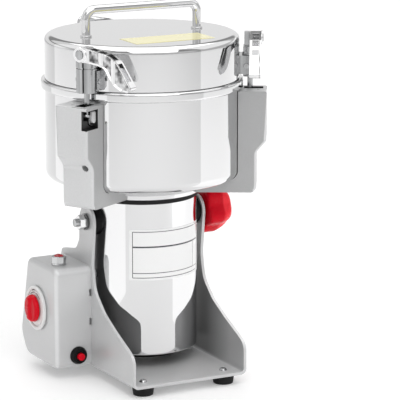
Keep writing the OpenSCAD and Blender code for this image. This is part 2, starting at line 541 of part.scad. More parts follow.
// ---------- every node on its own ----------
place() stand();
place() rubber_feet();
place() foot_screws();
place() control_box();
place() box_screws();
place() timer_dial();
place() timer_body();
place() timer_shaft();
place() timer_knob();
place() breaker_body();
place() breaker_ring_nut();
place() reset_button();
place() lamp_bezel();
place() lamp_lens();
place() inlet_socket();
place() inlet_pins();
place() pivot_bolt();
place() pivot_nut();
place() pivot_washers();
place() clamp_knob();
place() clamp_stud();
place() trunnion_bosses();
place() motor_shell();
place() motor_cap();
place() cap_screws();
place() stator();
place() armature_core();
place() commutator();
place() motor_shaft();
place() cooling_fan();
place() upper_bearing();
place() lower_bearing();
place() brush_holders();
place() carbon_brushes();
place() motor_gasket();
place() motor_flange();
place() motor_label();
place() yoke();
place() yoke_screws();
place() bowl();
place() shaft_seal();
place() lower_blade();
place() upper_blade();
place() blade_spacers();
place() blade_nut();
place() lid();
place() lid_seal();
place() lid_handle();
place() lid_sticker();
place() lid_lugs();
place() lug_rivets();
place() latch_rod(0);  // latch_rod_left
place() latch_rod(1);  // latch_rod_right
place() latch_rod(2);  // latch_rod_rear
place() latch_pin(0);  // latch_pin_left
place() latch_pin(1);  // latch_pin_right
place() latch_pin(2);  // latch_pin_rear
place() latch_lever(0);  // latch_lever_left
place() latch_lever(1);  // latch_lever_right
place() latch_lever(2);  // latch_lever_rear
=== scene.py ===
import json
import math

import bmesh
import bpy
from mathutils import Matrix, Vector


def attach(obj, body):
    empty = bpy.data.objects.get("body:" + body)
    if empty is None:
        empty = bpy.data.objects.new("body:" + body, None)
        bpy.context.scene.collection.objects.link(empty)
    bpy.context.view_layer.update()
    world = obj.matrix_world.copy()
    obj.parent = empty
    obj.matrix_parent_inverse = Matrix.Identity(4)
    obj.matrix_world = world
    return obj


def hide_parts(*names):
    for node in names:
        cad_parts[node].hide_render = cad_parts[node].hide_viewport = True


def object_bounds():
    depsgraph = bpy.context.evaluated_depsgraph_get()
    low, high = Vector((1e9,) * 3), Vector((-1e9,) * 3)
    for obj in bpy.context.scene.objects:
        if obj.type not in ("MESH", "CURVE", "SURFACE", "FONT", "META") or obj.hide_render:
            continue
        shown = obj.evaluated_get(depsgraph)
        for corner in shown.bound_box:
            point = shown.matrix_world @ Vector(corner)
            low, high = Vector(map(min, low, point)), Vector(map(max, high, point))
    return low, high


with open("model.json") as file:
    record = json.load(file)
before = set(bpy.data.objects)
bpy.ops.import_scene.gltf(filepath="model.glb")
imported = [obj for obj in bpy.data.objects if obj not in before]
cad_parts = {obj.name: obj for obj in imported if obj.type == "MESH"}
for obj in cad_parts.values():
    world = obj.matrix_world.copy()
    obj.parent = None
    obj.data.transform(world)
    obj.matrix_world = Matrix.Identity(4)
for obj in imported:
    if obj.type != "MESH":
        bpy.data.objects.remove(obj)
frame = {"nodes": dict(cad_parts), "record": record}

NODES = frame["nodes"]
cad_lo, cad_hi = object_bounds()
cad_lo, cad_hi = cad_lo.copy(), cad_hi.copy()
BODY = {n: b for b, ns in frame["record"]["behaviour"]["bodies"].items() for n in ns}
SLOT = {s["node"]: s["material_slot"] for s in frame["record"]["subparts"]}
MM = 0.001
SPIN = next(j for j in frame["record"]["behaviour"]["joints"] if j["name"] == "rotor_spin")
AXIS = Vector((SPIN["pos_m"][0], SPIN["pos_m"][1], 0.0))          # the motor axis in the part's frame


def at(x, y, z):
    """A point given in millimetres about the motor axis."""
    return AXIS + Vector((x, y, z)) * MM


# ------------------------------------------------------------------ materials
def links(mat):
    nt = mat.node_tree
    return nt, nt.nodes, nt.links


def make_mat(name, color, rough, metal=0.0, **consts):
    mat = bpy.data.materials.new(name)
    mat.use_nodes = True
    b = mat.node_tree.nodes["Principled BSDF"]
    b.inputs["Base Color"].default_value = (*color, 1.0)
    b.inputs["Roughness"].default_value = rough
    b.inputs["Metallic"].default_value = metal
    for k, v in consts.items():
        b.inputs[k.replace("_", " ")].default_value = v
    return mat


def coords(mat, scale=(1.0, 1.0, 1.0)):
    nt, nodes, link = links(mat)
    tc = nodes.new("ShaderNodeTexCoord")
    mp = nodes.new("ShaderNodeMapping")
    mp.inputs["Scale"].default_value = scale
    link.new(tc.outputs["Object"], mp.inputs["Vector"])
    return mp.outputs["Vector"]


def noise(mat, vec, scale, detail=4.0, rough=0.55):
    nt, nodes, link = links(mat)
    n = nodes.new("ShaderNodeTexNoise")
    n.inputs["Scale"].default_value = scale
    n.inputs["Detail"].default_value = detail
    n.inputs["Roughness"].default_value = rough
    link.new(vec, n.inputs["Vector"])
    return n.outputs["Fac"]


def ramp(mat, fac, stops):
    nt, nodes, link = links(mat)
    r = nodes.new("ShaderNodeValToRGB")
    els = r.color_ramp.elements
    while len(els) < len(stops):
        els.new(0.5)
    for e, (p, c) in zip(els, stops):
        e.position = p
        e.color = (*c, 1.0) if len(c) == 3 else c
    link.new(fac, r.inputs["Fac"])
    return r.outputs["Color"]


def remap(mat, fac, lo, hi, a=0.3, b=0.7):
    nt, nodes, link = links(mat)
    m = nodes.new("ShaderNodeMapRange")
    m.inputs["From Min"].default_value = a
    m.inputs["From Max"].default_value = b
    m.inputs["To Min"].default_value = lo
    m.inputs["To Max"].default_value = hi
    link.new(fac, m.inputs["Value"])
    return m.outputs["Result"]


def math_node(mat, op, a, b=None, c=None):
    nt, nodes, link = links(mat)
    m = nodes.new("ShaderNodeMath")
    m.operation = op
    for i, v in enumerate((a, b, c)):
        if v is None:
            continue
        if isinstance(v, (int, float)):
            m.inputs[i].default_value = v
        else:
            link.new(v, m.inputs[i])
    return m.outputs[0]


def mix_color(mat, fac, a, b, mode="MIX"):
    nt, nodes, link = links(mat)
    m = nodes.new("ShaderNodeMix")
    m.data_type = "RGBA"
    m.blend_type = mode
    for sock, v in ((m.inputs[0], fac), (m.inputs[6], a), (m.inputs[7], b)):
        if isinstance(v, (int, float)):
            sock.default_value = v
        elif isinstance(v, tuple):
            sock.default_value = (*v, 1.0)
        else:
            link.new(v, sock)
    return m.outputs[2]


def bump(mat, height, strength, distance):
    nt, nodes, link = links(mat)
    b = nodes.new("ShaderNodeBump")
    b.inputs["Strength"].default_value = strength
    b.inputs["Distance"].default_value = distance
    link.new(height, b.inputs["Height"])
    link.new(b.outputs["Normal"], nodes["Principled BSDF"].inputs["Normal"])


def to(mat, socket, value):
    nt, nodes, link = links(mat)
    link.new(value, nodes["Principled BSDF"].inputs[socket])


def tint(c, k):
    return tuple(min(1.0, x * k) for x in c)


def grained(name, color, rough, metal=0.0, grain=900.0, vary=0.04, patch=18.0, rough_vary=0.06, bump_d=0.00002, bump_s=0.25, **consts):
    """A surface with a fine grain, faint broad patches and uneven gloss."""
    mat = make_mat(name, color, rough, metal, **consts)
    v = coords(mat)
    fine = noise(mat, v, grain, 3.0, 0.6)
    broad = noise(mat, v, patch, 3.0, 0.5)
    c1 = ramp(mat, fine, [(0.25, tint(color, 1 - vary)), (0.75, tint(color, 1 + vary))])
    c2 = ramp(mat, broad, [(0.3, (1 - vary, 1 - vary, 1 - vary)), (0.7, (1.0, 1.0, 1.0))])
    to(mat, "Base Color", mix_color(mat, 1.0, c1, c2, "MULTIPLY"))
    to(mat, "Roughness", remap(mat, broad, max(0.02, rough - rough_vary), rough + rough_vary))
    bump(mat, fine, bump_s, bump_d)
    return mat


M = {}
M["silver_paint"] = grained("silver_paint", (0.595, 0.598, 0.602), 0.34, 0.15, grain=1500.0, vary=0.05, bump_d=0.000016, bump_s=0.3,
                            Coat_Weight=0.3, Coat_Roughness=0.2)
M["cast_alloy"] = grained("cast_alloy", (0.66, 0.663, 0.667), 0.40, 0.15, grain=1100.0, vary=0.06, bump_d=0.00003, bump_s=0.35,
                          Coat_Weight=0.10, Coat_Roughness=0.3)
M["polished_steel"] = grained("polished_steel", (0.69, 0.69, 0.694), 0.045, 1.0, grain=2600.0, vary=0.012, patch=9.0, rough_vary=0.02,
                              bump_d=0.000002, bump_s=0.05)
M["bright_cast"] = grained("bright_cast", (0.82, 0.82, 0.825), 0.13, 1.0, grain=380.0, vary=0.03, patch=60.0, rough_vary=0.05,
                           bump_d=0.00012, bump_s=0.35)
M["plated_steel"] = grained("plated_steel", (0.43, 0.435, 0.44), 0.17, 1.0, grain=700.0, vary=0.04, patch=70.0, rough_vary=0.07,
                            bump_d=0.00003, bump_s=0.3)
M["ground_steel"] = grained("ground_steel", (0.66, 0.67, 0.68), 0.27, 1.0, grain=900.0, vary=0.06, bump_d=0.00003, bump_s=0.3)
M["black_rubber"] = grained("black_rubber", (0.013, 0.013, 0.0135), 0.62, 0.0, grain=1300.0, vary=0.12, bump_d=0.00005, bump_s=0.4, Specular_IOR_Level=0.2)
M["clear_silicone"] = grained("clear_silicone", (0.76, 0.76, 0.74), 0.38, 0.0, grain=500.0, vary=0.03, Subsurface_Weight=0.1)
M["black_plastic"] = grained("black_plastic", (0.006, 0.006, 0.0063), 0.34, 0.0, grain=1500.0, vary=0.12, bump_d=0.00004, bump_s=0.4, Specular_IOR_Level=0.12)
M["red_plastic"] = grained("red_plastic", (0.66, 0.004, 0.016), 0.26, 0.0, grain=1200.0, vary=0.05, patch=40.0, rough_vary=0.05,
                           bump_d=0.00003, bump_s=0.2, Specular_IOR_Level=0.1)
M["red_lens"] = grained("red_lens", (0.55, 0.004, 0.014), 0.10, 0.0, grain=600.0, vary=0.05, rough_vary=0.03, bump_d=0.00003, bump_s=0.2,
                        Coat_Weight=0.4, Coat_Roughness=0.05, Transmission_Weight=0.25)
M["white_plastic"] = grained("white_plastic", (0.80, 0.80, 0.795), 0.35, 0.0, grain=1000.0, vary=0.02, bump_d=0.00002, bump_s=0.2)
M["yellow_foil"] = grained("yellow_foil", (0.93, 0.86, 0.40), 0.22, 0.0, grain=500.0, vary=0.03, bump_d=0.00001, bump_s=0.2, Coat_Weight=0.5)
M["core_iron"] = grained("core_iron", (0.28, 0.27, 0.27), 0.5, 0.6, grain=900.0, vary=0.1)
M["copper"] = grained("copper", (0.62, 0.30, 0.16), 0.3, 1.0, grain=900.0, vary=0.08)
M["brass"] = grained("brass", (0.70, 0.55, 0.27), 0.28, 1.0, grain=900.0, vary=0.06)
M["carbon"] = grained("carbon", (0.03, 0.03, 0.03), 0.6, 0.0, grain=1500.0, vary=0.15)


def label_foil():
    """White foil with rule lines only, laid out round the shell."""
    mat = grained("white_foil", (0.90, 0.90, 0.90), 0.25, 0.0, grain=900.0, vary=0.015, rough_vary=0.01, bump_d=0.00001, bump_s=0.1, Coat_Weight=0.3)
    nt, nodes, link = links(mat)
    base = nodes["Principled BSDF"].inputs["Base Color"].links[0].from_socket
    tc = nodes.new("ShaderNodeTexCoord")
    sep = nodes.new("ShaderNodeSeparateXYZ")
    link.new(tc.outputs["Object"], sep.inputs["Vector"])
    z = math_node(mat, "MULTIPLY", sep.outputs["Z"], 1000.0)
    dx = math_node(mat, "SUBTRACT", sep.outputs["X"], AXIS.x)
    dy = math_node(mat, "SUBTRACT", sep.outputs["Y"], AXIS.y)
    ang = math_node(mat, "MULTIPLY", math_node(mat, "ARCTAN2", dy, dx), 53.3)      # millimetres round the shell

    def line(v, pos, half):
        return math_node(mat, "LESS_THAN", math_node(mat, "ABSOLUTE", math_node(mat, "SUBTRACT", v, pos)), half)

    def within(v, lo, hi):
        return math_node(mat, "MULTIPLY", math_node(mat, "GREATER_THAN", v, lo), math_node(mat, "LESS_THAN", v, hi))

    a0, a1, ac = math.radians(-127.5) * 53.3, math.radians(-40.0) * 53.3, math.radians(-51.0) * 53.3
    span = within(ang, a0, a1)
    rows = None
    for zz, half in ((149.6, 0.35), (134.6, 0.75), (108.6, 0.35), (104.0, 0.35)):
        l = math_node(mat, "MULTIPLY", line(z, zz, half), span)
        rows = l if rows is None else math_node(mat, "MAXIMUM", rows, l)
    for aa, zlo, zhi in ((a0, 104.0, 149.6), (a1, 104.0, 149.6), (ac, 108.6, 134.6)):
        l = math_node(mat, "MULTIPLY", line(ang, aa, 0.35), within(z, zlo, zhi))
        rows = math_node(mat, "MAXIMUM", rows, l)
    ink = mix_color(mat, rows, base, (0.06, 0.06, 0.065))
    link.new(ink, nodes["Principled BSDF"].inputs["Base Color"])
    return mat


M["white_foil"] = label_foil()


def painted_shade_and_light(mat):
    """Paints shade on the inner sides of the two upright walls, making the paint duller there, and paints light on the
    floor plate and highlights along rounded edges, making the paint a little paler there.
    """
    nt, nodes, link = links(mat)
    base = nodes["Principled BSDF"].inputs["Base Color"].links[0].from_socket
    tc = nodes.new("ShaderNodeTexCoord")
    pos = nodes.new("ShaderNodeSeparateXYZ")
    nrm = nodes.new("ShaderNodeSeparateXYZ")
    link.new(tc.outputs["Object"], pos.inputs["Vector"])
    link.new(tc.outputs["Normal"], nrm.inputs["Vector"])
    x = math_node(mat, "MULTIPLY", math_node(mat, "SUBTRACT", pos.outputs["X"], AXIS.x), 1000.0)
    # painted shade: the inner sides of both upright walls are darkened, the left one most
    for sign, keep, lo, hi in ((-1.0, 0.25, 52.0, 60.5), (1.0, 0.78, 52.0, 60.5)):
        facing = remap(mat, math_node(mat, "MULTIPLY", nrm.outputs["X"], -sign), 0.0, 1.0, 0.4, 0.9)
        near = math_node(mat, "GREATER_THAN", math_node(mat, "MULTIPLY", x, sign), lo)
        within = math_node(mat, "MULTIPLY", near, math_node(mat, "LESS_THAN", math_node(mat, "MULTIPLY", x, sign), hi))
        base = mix_color(mat, math_node(mat, "MULTIPLY", facing, within), base, mix_color(mat, 1.0, base, (keep, keep, keep), "MULTIPLY"))
        if sign * lo > 0 and sign > 0:
            # painted shade, deeper on the right wall's inner side towards the back and low down
            deep_shade = remap(mat, math_node(mat, "SUBTRACT", pos.outputs["Y"], AXIS.y), 0.0, 1.0, -0.075, -0.025)
            deep_shade = math_node(mat, "MULTIPLY", deep_shade, remap(mat, pos.outputs["Z"], 1.0, 0.0, 0.085, 0.125))
            deep_shade = math_node(mat, "MULTIPLY", deep_shade, math_node(mat, "MULTIPLY", facing, within))
            base = mix_color(mat, deep_shade, base, mix_color(mat, 1.0, base, (0.46, 0.46, 0.46), "MULTIPLY"))
    # painted highlight: rounded edges between faces are made paler
    across, along = (math_node(mat, "ABSOLUTE", nrm.outputs[k], 0.0) for k in ("X", "Y"))
    edge_highlight = math_node(mat, "MAXIMUM", math_node(mat, "MINIMUM", across, along), math_node(mat, "MINIMUM", along, nrm.outputs["Z"]))
    edge_highlight = remap(mat, edge_highlight, 0.0, 1.0, 0.2, 0.55)
    base = mix_color(mat, edge_highlight, base, mix_color(mat, 1.0, base, (1.22, 1.22, 1.22), "MULTIPLY"))
    # painted light: the floor plate's top is made paler
    flat = math_node(mat, "MULTIPLY", math_node(mat, "LESS_THAN", pos.outputs["Z"], 0.02), math_node(mat, "GREATER_THAN", nrm.outputs["Z"], 0.9))
    base = mix_color(mat, flat, base, mix_color(mat, 1.0, base, (1.2, 1.2, 1.2), "MULTIPLY"))
    link.new(base, nodes["Principled BSDF"].inputs["Base Color"])


painted_shade_and_light(M["silver_paint"])


def painted_shade_on_arms(mat):
    """Paints shade on the flat sides of the arms, darker than their cast outer faces, and paints shade black into the
    slots.
    """
    nt, nodes, link = links(mat)
    base = nodes["Principled BSDF"].inputs["Base Color"].links[0].from_socket
    tc = nodes.new("ShaderNodeTexCoord")
    pos = nodes.new("ShaderNodeVectorMath")
    pos.operation = "SUBTRACT"
    link.new(tc.outputs["Object"], pos.inputs[0])
    pos.inputs[1].default_value = AXIS
    flat = nodes.new("ShaderNodeVectorMath")
    flat.operation = "MULTIPLY"
    link.new(pos.outputs[0], flat.inputs[0])
    flat.inputs[1].default_value = (1.0, 1.0, 0.0)
    unit = nodes.new("ShaderNodeVectorMath")
    unit.operation = "NORMALIZE"
    link.new(flat.outputs[0], unit.inputs[0])
    dot = nodes.new("ShaderNodeVectorMath")
    dot.operation = "DOT_PRODUCT"
    link.new(unit.outputs[0], dot.inputs[0])
    link.new(tc.outputs["Normal"], dot.inputs[1])
    nrm = nodes.new("ShaderNodeSeparateXYZ")
    link.new(tc.outputs["Normal"], nrm.inputs["Vector"])
    # painted shade: the upright faces of the arms that don't face outward are darkened
    level = remap(mat, math_node(mat, "ABSOLUTE", nrm.outputs["Z"]), 1.0, 0.0, 0.2, 0.6)
    aside = math_node(mat, "MULTIPLY", remap(mat, dot.outputs["Value"], 1.0, 0.0, 0.25, 0.6), level)
    base = mix_color(mat, aside, base, mix_color(mat, 1.0, base, (0.62, 0.62, 0.62), "MULTIPLY"))
    # painted shade: the slot and the window round the rod's end are painted black inside
    xyz = nodes.new("ShaderNodeSeparateXYZ")
    link.new(pos.outputs[0], xyz.inputs["Vector"])
    turn = math_node(mat, "WRAP", math_node(mat, "SUBTRACT", math_node(mat, "ARCTAN2", xyz.outputs["Y"], xyz.outputs["X"]), math.pi / 2), math.pi / 3, -math.pi / 3)
    far = nodes.new("ShaderNodeVectorMath")
    far.operation = "LENGTH"
    link.new(flat.outputs[0], far.inputs[0])
    out = math_node(mat, "MULTIPLY", far.outputs["Value"], math_node(mat, "COSINE", turn))
    side = math_node(mat, "MULTIPLY", far.outputs["Value"], math_node(mat, "SINE", turn))
    shadowed_hollow = None
    for v, lo, hi in ((out, 0.0965, 0.1212), (side, 0.0005, 0.0172), (xyz.outputs["Z"], 0.2595, 0.2817)):
        part = math_node(mat, "MULTIPLY", math_node(mat, "GREATER_THAN", v, lo), math_node(mat, "LESS_THAN", v, hi))
        shadowed_hollow = part if shadowed_hollow is None else math_node(mat, "MULTIPLY", shadowed_hollow, part)
    base = mix_color(mat, shadowed_hollow, base, (0.012, 0.012, 0.012))
    link.new(base, nodes["Principled BSDF"].inputs["Base Color"])


painted_shade_on_arms(M["cast_alloy"])


def arm_place(mat):
    """Distance out and sideways, in metres, in the frame of the nearest of the three arms."""
    nt, nodes, link = links(mat)
    tc = nodes.new("ShaderNodeTexCoord")
    xyz = nodes.new("ShaderNodeSeparateXYZ")
    link.new(tc.outputs["Object"], xyz.inputs["Vector"])
    x = math_node(mat, "SUBTRACT", xyz.outputs["X"], AXIS.x)
    y = math_node(mat, "SUBTRACT", xyz.outputs["Y"], AXIS.y)
    turn = math_node(mat, "WRAP", math_node(mat, "SUBTRACT", math_node(mat, "ARCTAN2", y, x), math.pi / 2), math.pi / 3, -math.pi / 3)
    far = math_node(mat, "SQRT", math_node(mat, "ADD", math_node(mat, "MULTIPLY", x, x), math_node(mat, "MULTIPLY", y, y)))
    return math_node(mat, "MULTIPLY", far, math_node(mat, "COSINE", turn)), math_node(mat, "MULTIPLY", far, math_node(mat, "SINE", turn)), xyz.outputs["Z"]


def painted_shade_in_hollows(mat):
    """Paints the floors of the hollows in the levers' outer faces dark and uneven: painted shade with patchy painted
    reflections.
    """
    nt, nodes, link = links(mat)
    base = nodes["Principled BSDF"].inputs["Base Color"].links[0].from_socket
    out, side, up = arm_place(mat)
    low = math_node(mat, "MULTIPLY", math_node(mat, "GREATER_THAN", out, 0.1144), math_node(mat, "LESS_THAN", out, 0.11515))
    # painted shade with patchy painted reflections on the floors of the hollows
    cast = ramp(mat, noise(mat, coords(mat), 170.0, 1.0, 0.4), [(0.36, (0.09, 0.09, 0.092)), (0.62, (0.62, 0.62, 0.625))])
    link.new(mix_color(mat, low, base, cast), nodes["Principled BSDF"].inputs["Base Color"])


painted_shade_in_hollows(M["bright_cast"])


def painted_shade_on_washer(mat):
    """Paints shade on the inner side of the washer under the pivot nut."""
    nt, nodes, link = links(mat)
    base = nodes["Principled BSDF"].inputs["Base Color"].links[0].from_socket
    tc = nodes.new("ShaderNodeTexCoord")
    pos = nodes.new("ShaderNodeSeparateXYZ")
    link.new(tc.outputs["Object"], pos.inputs["Vector"])
    # painted shade: the washer's inner side is darkened
    inner = math_node(mat, "GREATER_THAN", math_node(mat, "SUBTRACT", pos.outputs["X"], AXIS.x), -0.06425)
    inner = math_node(mat, "MULTIPLY", inner, math_node(mat, "LESS_THAN", pos.outputs["Z"], 0.2))
    link.new(mix_color(mat, inner, base, mix_color(mat, 1.0, base, (0.2, 0.2, 0.2), "MULTIPLY")), nodes["Principled BSDF"].inputs["Base Color"])


painted_shade_on_washer(M["bright_cast"])


def grain_and_painted_slit_shade(mat):
    """Gives drawn steel a grain along its height, and paints shade black into the slit in the posts."""
    nt, nodes, link = links(mat)
    base = nodes["Principled BSDF"].inputs["Base Color"].links[0].from_socket
    tc = nodes.new("ShaderNodeTexCoord")
    flat = nodes.new("ShaderNodeVectorMath")
    flat.operation = "MULTIPLY"
    link.new(tc.outputs["Object"], flat.inputs[0])
    flat.inputs[1].default_value = (1.0, 1.0, 0.03)
    streak = ramp(mat, noise(mat, flat.outputs[0], 210.0, 1.5, 0.5), [(0.36, (0.72, 0.72, 0.72)), (0.5, (0.95, 0.95, 0.95)), (0.64, (1.18, 1.18, 1.18))])
    base = mix_color(mat, 1.0, base, streak, "MULTIPLY")
    out, side, up = arm_place(mat)
    # painted shade: the slit in the posts is painted black
    dr = math_node(mat, "SUBTRACT", out, 0.105)
    dt = math_node(mat, "SUBTRACT", math_node(mat, "ABSOLUTE", side), 0.007)
    near = math_node(mat, "LESS_THAN", math_node(mat, "SQRT", math_node(mat, "ADD", math_node(mat, "MULTIPLY", dr, dr), math_node(mat, "MULTIPLY", dt, dt))), 0.0089)
    near = math_node(mat, "MULTIPLY", near, math_node(mat, "GREATER_THAN", dr, 0.003))
    high = math_node(mat, "MULTIPLY", math_node(mat, "GREATER_THAN", up, 0.2946), math_node(mat, "LESS_THAN", up, 0.3228))
    link.new(mix_color(mat, math_node(mat, "MULTIPLY", near, high), base, (0.01, 0.01, 0.01)), nodes["Principled BSDF"].inputs["Base Color"])


grain_and_painted_slit_shade(M["plated_steel"])

M["chrome"] = grained("chrome", (0.5, 0.505, 0.51), 0.12, 1.0, grain=700.0, vary=0.04, patch=70.0, rough_vary=0.05, bump_d=0.00002, bump_s=0.15)


def painted_light_on_knob_end(mat):
    """Paints light on the clamp knob's rounded end, making it a lighter red."""
    nt, nodes, link = links(mat)
    base = nodes["Principled BSDF"].inputs["Base Color"].links[0].from_socket
    tc = nodes.new("ShaderNodeTexCoord")
    pos = nodes.new("ShaderNodeSeparateXYZ")
    nrm = nodes.new("ShaderNodeSeparateXYZ")
    link.new(tc.outputs["Object"], pos.inputs["Vector"])
    link.new(tc.outputs["Normal"], nrm.inputs["Vector"])
    x = math_node(mat, "SUBTRACT", pos.outputs["X"], AXIS.x)
    # painted light: the knob's end beyond its lobes, and faces turned towards +X, are made a lighter red
    end = math_node(mat, "MULTIPLY", math_node(mat, "GREATER_THAN", x, 0.072), remap(mat, nrm.outputs["X"], 0.0, 1.0, 0.2, 0.42))
    end = math_node(mat, "MAXIMUM", end, remap(mat, x, 0.0, 1.0, 0.0795, 0.0815))
    link.new(mix_color(mat, end, base, (0.95, 0.035, 0.05)), nodes["Principled BSDF"].inputs["Base Color"])


painted_light_on_knob_end(M["red_plastic"])


def paint(obj, mat):
    obj.data.materials.clear()
    obj.data.materials.append(mat)
    return obj


# ------------------------------------------------------------------ mesh helpers
def finish_mesh(name, bm, mat, body, stands_for=(), angle=35.0, weighted=False):
    """Makes an object of a bmesh, smooth with sharp edges kept, and rides it on a body."""
    bmesh.ops.recalc_face_normals(bm, faces=bm.faces)
    lim = math.radians(angle)
    for f in bm.faces:
        f.smooth = True
    for e in bm.edges:
        if len(e.link_faces) == 2:
            e.smooth = e.calc_face_angle(0.0) < lim
    me = bpy.data.meshes.new(name)
    bm.to_mesh(me)
    bm.free()
    ob = bpy.data.objects.new(name, me)
    bpy.context.scene.collection.objects.link(ob)
    paint(ob, mat)
    if weighted:
        wm = ob.modifiers.new("weighted", "WEIGHTED_NORMAL")
        wm.mode = "FACE_AREA"
        wm.keep_sharp = True
    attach(ob, body)
    if stands_for:
        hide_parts(*stands_for)
    return ob


def supported(profile, closed, gap=0.3, least=2.5, step=12.0):
    """The outline with extra points near both ends of each long straight run, so that its shading stays true."""
    out = []
    n = len(profile)
    for i in range(n if closed else n - 1):
        a, b = profile[i], profile[(i + 1) % n]
        out.append(a)
        run = math.dist(a, b)
        if run > least and max(a[0], b[0]) > 1e-6:
            m = max(1, round(run / step))
            for t in [gap / run] + [k / m for k in range(1, m)] + [1 - gap / run]:
                out.append((a[0] + (b[0] - a[0]) * t, a[1] + (b[1] - a[1]) * t))
    if not closed:
        out.append(profile[-1])
    return out


def upright(u, v, w):
    return at(u, v, w)


def lathe(profile, segs=192, closed=True, place=upright, bm=None):
    """Turns (r, height) points in millimetres about an axis."""
    bm = bm or bmesh.new()
    rings = []
    for r, z in supported(profile, closed):
        if r < 1e-6:
            rings.append([bm.verts.new(place(0, 0, z))])
        else:
            rings.append([bm.verts.new(place(r * math.cos(2 * math.pi * k / segs), r * math.sin(2 * math.pi * k / segs), z)) for k in range(segs)])
    join_rings(bm, rings, closed)
    return bm


def join_rings(bm, rings, closed):
    n = len(rings)
    for i in range(n if closed else n - 1):
        a, b = rings[i], rings[(i + 1) % n]
        segs = max(len(a), len(b))
        if segs == 1:
            continue
        for k in range(segs):
            j = (k + 1) % segs
            if len(a) == 1:
                bm.faces.new((a[0], b[j], b[k]))
            elif len(b) == 1:
                bm.faces.new((a[k], a[j], b[0]))
            else:
                bm.faces.new((a[k], a[j], b[j], b[k]))


def arc(cx, cz, r, a0, a1, n=12):
    return [(cx + r * math.cos(math.radians(a0 + (a1 - a0) * k / n)), cz + r * math.sin(math.radians(a0 + (a1 - a0) * k / n))) for k in range(n + 1)]


def from_cad(node):
    """A welded copy of a CAD node's mesh with its flat faces joined."""
    bm = bmesh.new()
    bm.from_mesh(NODES[node].data)
    bmesh.ops.remove_doubles(bm, verts=bm.verts, dist=2e-6)
    bmesh.ops.dissolve_degenerate(bm, edges=bm.edges, dist=1e-6)
    bmesh.ops.dissolve_limit(bm, angle_limit=math.radians(0.6), verts=bm.verts, edges=bm.edges)
    return bm


def sharp_edges(bm, angle=35.0, test=None):
    lim = math.radians(angle)
    return [e for e in bm.edges if len(e.link_faces) == 2 and e.calc_face_angle(0.0) > lim and (test is None or test(e))]


def rounded(bm, edges, width, segs=3, clamp=True):
    bmesh.ops.bevel(bm, geom=list(edges), offset=width, offset_type="OFFSET", segments=segs, profile=0.5, affect="EDGES", clamp_overlap=clamp, loop_slide=True)
    bmesh.ops.remove_doubles(bm, verts=bm.verts, dist=2e-6)


def refine(node, width, angle=35.0, segs=2, test=None, first=None):
    """Stands a copy of a CAD node, with its sharp edges broken, in the node's place."""
    bm = from_cad(node)
    if first:
        rounded(bm, sharp_edges(bm, angle, first[0]), first[1] * MM, first[2], clamp=False)
    if width:
        rounded(bm, sharp_edges(bm, angle, test), width * MM, segs)
    return finish_mesh(node + "_finished", bm, M[SLOT[node]], BODY[node], (node,), weighted=True)


def turned(node, profile, segs=160, place=upright, closed=True, angle=35.0):
    """Stands a turned piece in a CAD node's place."""
    return finish_mesh(node + "_turned", lathe(profile, segs, closed, place), M[SLOT[node]], BODY[node], (node,), angle)


# ------------------------------------------------------------------ every CAD node gets its finish
for n, ob in NODES.items():
    paint(ob, M[SLOT[n]])

# ------------------------------------------------------------------ turned pieces on the motor axis
bowl_r, wall, seam, bowl_z, lid_top = 95.0, 1.5, 293.5, 195.0, 336.6
bowl_in = bowl_r - wall
turned("bowl", [(14.0, bowl_z)] + arc(bowl_r - 8.5, bowl_z + 8.5, 8.5, -90, 0, 18) + [(bowl_r, seam - 9.6)]
       + arc(bowl_r + 1.6, seam - 7.4, 2.2, -90, 0, 10) + arc(bowl_r + 1.3, seam - 2.8, 2.5, 0, 90, 10) + [(bowl_in, seam - 0.3)]
       + arc(bowl_r - 8.5, bowl_z + 8.5, 7.0, 0, -90, 14) + [(14.0, bowl_z + wall)], 256)
turned("lid", [(bowl_in, seam), (bowl_r - 0.3, seam), (bowl_r, seam + 0.3)] + arc(bowl_r - 7, lid_top - 7, 7, 0, 90, 20) + [(0, lid_top), (0, lid_top - wall)]
       + arc(bowl_r - 7, lid_top - 7, 7 - wall, 90, 0, 12), 256)
motor_r, m0, m1 = 53.0, 26.0, 177.0
turned("motor_shell", [(motor_r - wall, m0 + 1.5), (motor_r - wall, m1 - 7), (40, m1 - 7), (40, m1), (motor_r - 0.4, m1)]
       + arc(motor_r - 0.4, m1 - 0.4, 0.4, 70, 0, 3) + arc(motor_r - 1.2, m0 + 1.3, 1.2, 0, -80, 6) + [(motor_r - 7, m0), (motor_r - 7, m0 + 1.5)], 224)
turned("motor_gasket", [(40, m1), (motor_r + 0.7, m1), (motor_r + 1.2, m1 + 0.5), (motor_r + 1.2, m1 + 4.0), (motor_r + 0.7, m1 + 4.5), (40, m1 + 4.5)], 192, angle=50)

